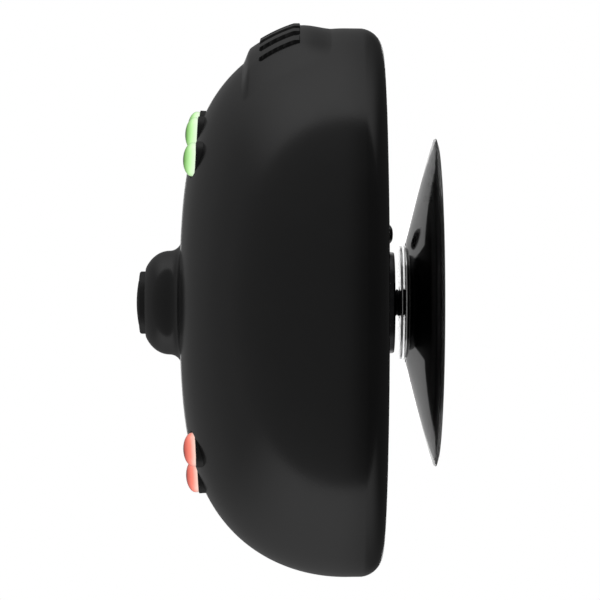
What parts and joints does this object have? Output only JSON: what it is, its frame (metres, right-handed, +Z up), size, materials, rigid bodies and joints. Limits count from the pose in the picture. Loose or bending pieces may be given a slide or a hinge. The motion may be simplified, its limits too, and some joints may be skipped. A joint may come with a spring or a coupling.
{
  "type": "radar detector",
  "caption": "Round windscreen radar detector with domed warning lamps, centre push keys and a threaded stud on a suction cup",
  "frame": {"origin": "centre of the suction cup's seal ring, on the glass", "axes": "+Y out of the back through the windscreen, -Y the face towards the driver, +Z up"},
  "size_m": [0.084, 0.0462, 0.0848],
  "materials": {
    "body": "satin soft-touch black",
    "cover": "fine moulded grain, black",
    "key": "matte",
    "green_lens": "glossy translucent green",
    "red_lens": "glossy translucent red",
    "emitter": "pale resin",
    "cup": "glossy soft vinyl, black",
    "chrome": "polished",
    "dark_steel": "black oxide",
    "brass": "machined",
    "board": "solder mask over glass laminate",
    "cast": "as cast",
    "chip": "moulded",
    "filter": "dark infrared filter",
    "speaker": "coated cone"
  },
  "bodies": {
    "mount": {"suction_cup": "cup", "head_plate": "chrome", "chrome_washer": "chrome", "threaded_stud": "dark_steel"},
    "lock_nut": {"lock_nut": "dark_steel"},
    "head": {"front_shell": "body", "back_cover": "cover", "brass_insert": "brass", "lamp_board": "board", "main_board": "board", "board_header": "chip", "processor": "chip", "shield_can": "cast", "centre_switch": "chip", "left_switch": "chip", "right_switch": "chip", "horn_antenna": "cast", "speaker": "speaker", "laser_lens": "filter", "laser_sensor": "chip", "power_socket": "chip", "green_lens_1": "green_lens", "green_lens_2": "green_lens", "green_lens_3": "green_lens", "green_lens_4": "green_lens", "green_lens_5": "green_lens", "red_lens_1": "red_lens", "red_lens_2": "red_lens", "red_lens_3": "red_lens", "red_lens_4": "red_lens", "green_emitter_1": "emitter", "green_emitter_2": "emitter", "green_emitter_3": "emitter", "green_emitter_4": "emitter", "green_emitter_5": "emitter", "red_emitter_1": "emitter", "red_emitter_2": "emitter", "red_emitter_3": "emitter", "red_emitter_4": "emitter", "cover_screw_1": "dark_steel", "cover_screw_2": "dark_steel", "cover_screw_3": "dark_steel", "cover_screw_4": "dark_steel", "board_spacer_1": "brass", "board_spacer_2": "brass", "board_spacer_3": "brass", "board_spacer_4": "brass"},
    "ring_key": {"ring_key": "key"},
    "centre_key": {"centre_key": "key"}
  },
  "joints": [
    {"name": "head_swivel", "type": "hinge", "parent": "mount", "child": "head", "pos_m": [0, -0.0085, 0], "axis": [0, 1, 0], "range_deg": [-90, 90]},
    {"name": "lock_nut_spin", "type": "hinge", "parent": "mount", "child": "lock_nut", "pos_m": [0, -0.0074, 0], "axis": [0, 1, 0], "continuous": true},
    {"name": "ring_key_press", "type": "slide", "parent": "head", "child": "ring_key", "axis": [0, 1, 0], "range_m": [0, 0.0005], "stiffness_N_per_m": 300, "springref_m": -0.001},
    {"name": "centre_key_press", "type": "slide", "parent": "head", "child": "centre_key", "axis": [0, 1, 0], "range_m": [0, 0.0005], "stiffness_N_per_m": 300, "springref_m": -0.001}
  ]
}
